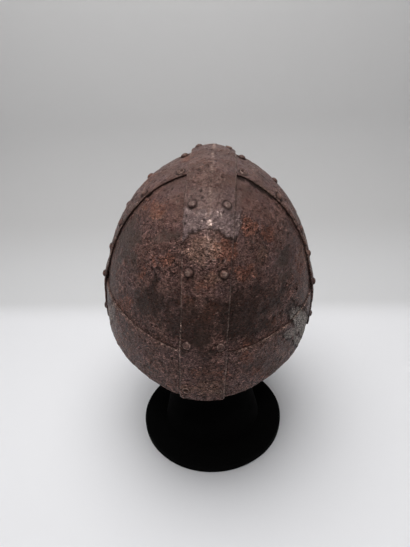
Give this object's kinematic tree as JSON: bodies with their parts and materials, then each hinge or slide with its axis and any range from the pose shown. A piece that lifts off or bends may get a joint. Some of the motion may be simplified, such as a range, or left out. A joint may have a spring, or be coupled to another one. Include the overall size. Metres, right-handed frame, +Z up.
{
  "type": "banded helmet on display stand",
  "caption": "Domed iron helmet of curved plates held by riveted brow, side and fore-and-aft bands, tipped forward on a plain round stand.",
  "frame": {"origin": "centre of the flat underside of the stand's round base", "axes": "+Z up along the stand's column, -Y towards the end of the helmet that tips down, X across the helmet"},
  "size_m": [0.2104, 0.2385, 0.3091],
  "materials": {
    "plates": "corroded, pitted dark brown iron",
    "bands": "corroded reddish brown iron with flaked edges",
    "rivets": "worn brown iron domes",
    "stand": "plain black velvet"
  },
  "bodies": {
    "root": {"plate_near_left": "plates", "plate_near_right": "plates", "plate_far_left": "plates", "plate_far_right": "plates", "brow_band": "bands", "lateral_band_left": "bands", "lateral_band_right": "bands", "medial_band": "bands", "rivet_medial_near_1_left": "rivets", "rivet_medial_near_1_right": "rivets", "rivet_medial_near_2_left": "rivets", "rivet_medial_near_2_right": "rivets", "rivet_medial_near_3_left": "rivets", "rivet_medial_near_3_right": "rivets", "rivet_medial_near_4_left": "rivets", "rivet_medial_near_4_right": "rivets", "rivet_medial_far_1_left": "rivets", "rivet_medial_far_1_right": "rivets", "rivet_medial_far_2_left": "rivets", "rivet_medial_far_2_right": "rivets", "rivet_medial_far_3_left": "rivets", "rivet_medial_far_3_right": "rivets", "rivet_medial_far_4_left": "rivets", "rivet_medial_far_4_right": "rivets", "rivet_lateral_left_1_near": "rivets", "rivet_lateral_left_1_far": "rivets", "rivet_lateral_left_2_near": "rivets", "rivet_lateral_left_2_far": "rivets", "rivet_lateral_left_3_near": "rivets", "rivet_lateral_left_3_far": "rivets", "rivet_lateral_left_4_near": "rivets", "rivet_lateral_left_4_far": "rivets", "rivet_lateral_left_5_near": "rivets", "rivet_lateral_left_5_far": "rivets", "rivet_lateral_left_6_near": "rivets", "rivet_lateral_left_6_far": "rivets", "rivet_lateral_right_1_near": "rivets", "rivet_lateral_right_1_far": "rivets", "rivet_lateral_right_2_near": "rivets", "rivet_lateral_right_2_far": "rivets", "rivet_lateral_right_3_near": "rivets", "rivet_lateral_right_3_far": "rivets", "rivet_lateral_right_4_near": "rivets", "rivet_lateral_right_4_far": "rivets", "rivet_lateral_right_5_near": "rivets", "rivet_lateral_right_5_far": "rivets", "rivet_lateral_right_6_near": "rivets", "rivet_lateral_right_6_far": "rivets", "stand_base": "stand", "stand_column": "stand", "stand_pad": "stand"}
  },
  "joints": []
}
